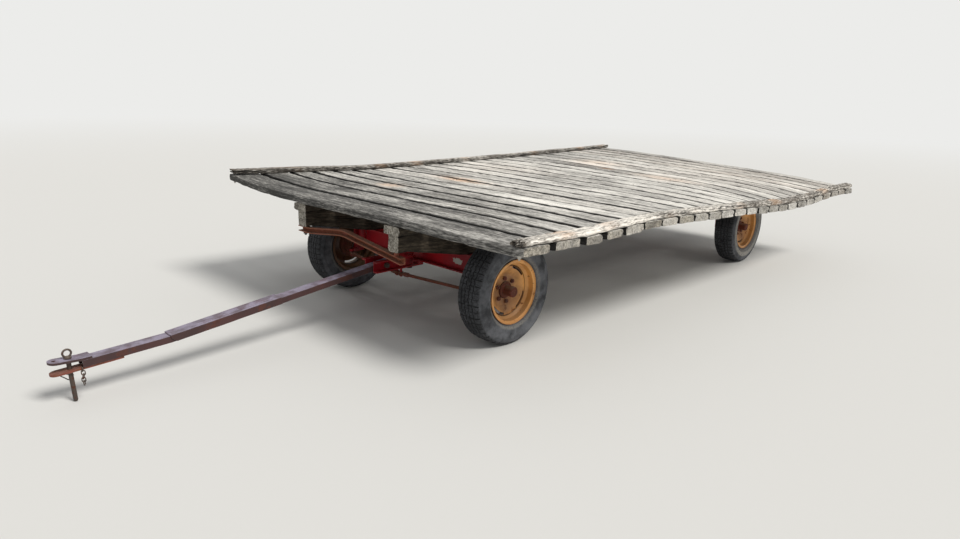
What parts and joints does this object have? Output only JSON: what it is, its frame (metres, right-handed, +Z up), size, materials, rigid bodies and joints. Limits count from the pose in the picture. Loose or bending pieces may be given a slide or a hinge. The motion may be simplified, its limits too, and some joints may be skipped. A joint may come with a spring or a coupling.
{
  "type": "four-wheel flat hay wagon",
  "caption": "Flat plank-decked hay wagon on four wheels, steered by its tongue, with a pin hitch.",
  "frame": {"origin": "on the ground, half-way along and across the whole wagon, tongue included", "axes": "+X forward to the tongue, +Y to the wagon's left, +Z up"},
  "size_m": [6.7834, 3.035, 0.9299],
  "materials": {
    "deck_wood": "weathered grey planks",
    "rail_wood": "rough weathered timber",
    "sill_wood": "old rough-sawn timber",
    "gear_red": "worn red paint",
    "tongue_paint": "faded brown-purple paint with rust",
    "rusty_bar": "rust-brown steel",
    "hitch_rust": "rusty steel",
    "dark_steel": "dark greasy steel",
    "wheel_paint": "faded orange-yellow paint with rust",
    "hub_rust": "dark red-brown cast iron",
    "tyre": "worn dusty rubber"
  },
  "bodies": {
    "chassis": {"front_axle_beam": "gear_red", "rear_axle_beam": "gear_red", "kingpins": "dark_steel", "rear_spindles": "gear_red", "yoke_bracket": "gear_red", "kingbolt": "dark_steel", "reach_front": "gear_red", "reach_rear": "gear_red", "reach_clamp": "gear_red", "front_hounds": "gear_red", "rear_hounds": "gear_red", "sill_left": "sill_wood", "sill_right": "sill_wood", "sill_cap_left": "sill_wood", "sill_cap_right": "sill_wood", "deck_planks": "deck_wood", "rail_left": "rail_wood", "rail_right": "rail_wood", "arch_bar": "rusty_bar"},
    "yoke_frame": {"yoke": "gear_red", "lift_bolt": "dark_steel"},
    "tongue": {"tongue_bar": "tongue_paint", "tongue_sleeve": "tongue_paint", "hitch_strap_top": "tongue_paint", "hitch_strap_bottom": "hitch_rust", "draw_pin": "dark_steel"},
    "left_knuckle": {"knuckle_left": "gear_red"},
    "right_knuckle": {"knuckle_right": "gear_red"},
    "left_tie_rod": {"tie_rod_left": "hitch_rust"},
    "right_tie_rod": {"tie_rod_right": "hitch_rust"},
    "front_left_wheel": {"tyre_front_left": "tyre", "wheel_front_left": "wheel_paint", "hub_front_left": "hub_rust"},
    "front_right_wheel": {"tyre_front_right": "tyre", "wheel_front_right": "wheel_paint", "hub_front_right": "hub_rust"},
    "rear_left_wheel": {"tyre_rear_left": "tyre", "wheel_rear_left": "wheel_paint", "hub_rear_left": "hub_rust"},
    "rear_right_wheel": {"tyre_rear_right": "tyre", "wheel_rear_right": "wheel_paint", "hub_rear_right": "hub_rust"}
  },
  "joints": [
    {"name": "steer", "type": "hinge", "parent": "chassis", "child": "yoke_frame", "pos_m": [1.13229, 0, 0.4], "axis": [0, 0, 1], "range_deg": [-30, 30]},
    {"name": "tongue_lift", "type": "hinge", "parent": "yoke_frame", "child": "tongue", "pos_m": [1.37729, 0, 0.4], "axis": [0, -1, 0], "range_deg": [0, 28]},
    {"name": "left_knuckle_turn", "type": "hinge", "parent": "chassis", "child": "left_knuckle", "pos_m": [1.04729, 0.66, 0.345], "axis": [0, 0, 1], "range_deg": [-30, 30]},
    {"name": "left_tie_rod_swing", "type": "hinge", "parent": "yoke_frame", "child": "left_tie_rod", "pos_m": [1.22229, 0.022, 0.308], "axis": [0, 0, 1], "range_deg": [-30, 30]},
    {"name": "right_knuckle_turn", "type": "hinge", "parent": "chassis", "child": "right_knuckle", "pos_m": [1.04729, -0.66, 0.345], "axis": [0, 0, 1], "range_deg": [-30, 30]},
    {"name": "right_tie_rod_swing", "type": "hinge", "parent": "yoke_frame", "child": "right_tie_rod", "pos_m": [1.22229, -0.022, 0.308], "axis": [0, 0, 1], "range_deg": [-30, 30]},
    {"name": "front_left_spin", "type": "hinge", "parent": "left_knuckle", "child": "front_left_wheel", "pos_m": [1.04729, 0.8405, 0.345], "axis": [0, 1, 0], "continuous": true},
    {"name": "front_right_spin", "type": "hinge", "parent": "right_knuckle", "child": "front_right_wheel", "pos_m": [1.04729, -0.8405, 0.345], "axis": [0, 1, 0], "continuous": true},
    {"name": "rear_left_spin", "type": "hinge", "parent": "chassis", "child": "rear_left_wheel", "pos_m": [-2.35471, 0.8405, 0.345], "axis": [0, 1, 0], "continuous": true},
    {"name": "rear_right_spin", "type": "hinge", "parent": "chassis", "child": "rear_right_wheel", "pos_m": [-2.35471, -0.8405, 0.345], "axis": [0, 1, 0], "continuous": true}
  ],
  "couplings": [
    {"joint": "left_knuckle_turn", "follows": "steer", "ratio": 1},
    {"joint": "left_tie_rod_swing", "follows": "steer", "ratio": -1},
    {"joint": "right_knuckle_turn", "follows": "steer", "ratio": 1},
    {"joint": "right_tie_rod_swing", "follows": "steer", "ratio": -1}
  ]
}
